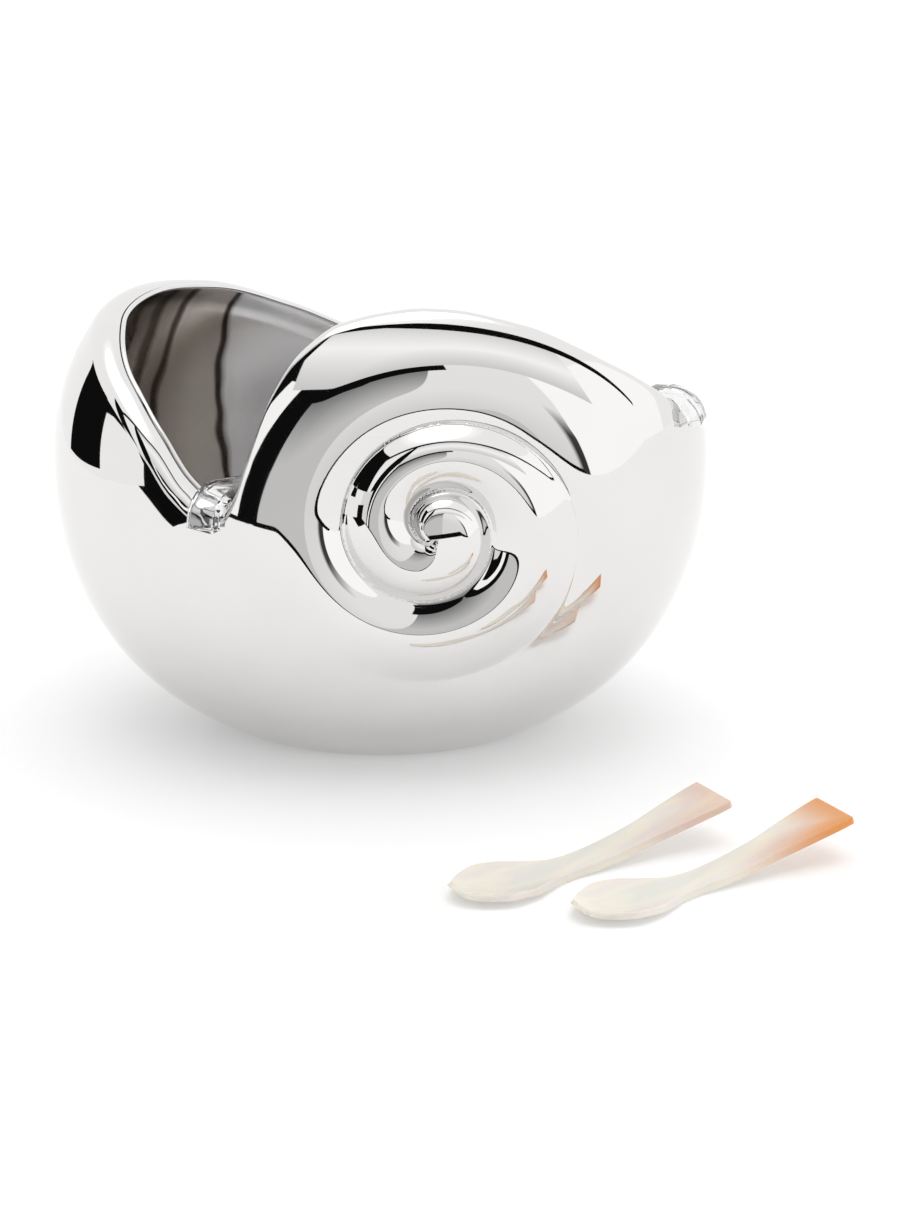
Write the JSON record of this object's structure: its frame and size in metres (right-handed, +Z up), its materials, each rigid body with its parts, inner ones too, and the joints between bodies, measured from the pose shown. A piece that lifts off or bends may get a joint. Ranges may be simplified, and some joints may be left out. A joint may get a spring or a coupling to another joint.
{
  "type": "caviar dish",
  "caption": "Polished shell-shaped bowl with a pressed spiral, a hanging glass caviar cup on hooked arms and mother-of-pearl spoons laid before it.",
  "frame": {"origin": "centre of the flat that the bowl stands on", "axes": "+Z up, the spiral on the bowl's front looks along -Y, +X to the viewer's right, where the spoons' handles end"},
  "size_m": [0.2566, 0.2571, 0.1572],
  "materials": {
    "polished_silver": "mirror-polished silver plate",
    "silver_wire": "polished silver wire",
    "clear_glass": "clear pressed glass",
    "mother_of_pearl": "polished mother-of-pearl, which stands as ceramic"
  },
  "bodies": {
    "bowl": {"bowl_shell": "polished_silver", "rim_wire": "silver_wire"},
    "cup": {"caviar_cup": "clear_glass"},
    "left_spoon": {"spoon_left": "mother_of_pearl"},
    "right_spoon": {"spoon_right": "mother_of_pearl"}
  },
  "joints": [
    {"name": "cup_lift", "type": "slide", "parent": "bowl", "child": "cup", "axis": [0, 0, 1], "range_m": [0, 0.12]},
    {"name": "spoon_left_lift", "type": "slide", "parent": "bowl", "child": "left_spoon", "axis": [0, 0, 1], "range_m": [0, 0.12]},
    {"name": "spoon_right_lift", "type": "slide", "parent": "bowl", "child": "right_spoon", "axis": [0, 0, 1], "range_m": [0, 0.12]}
  ]
}
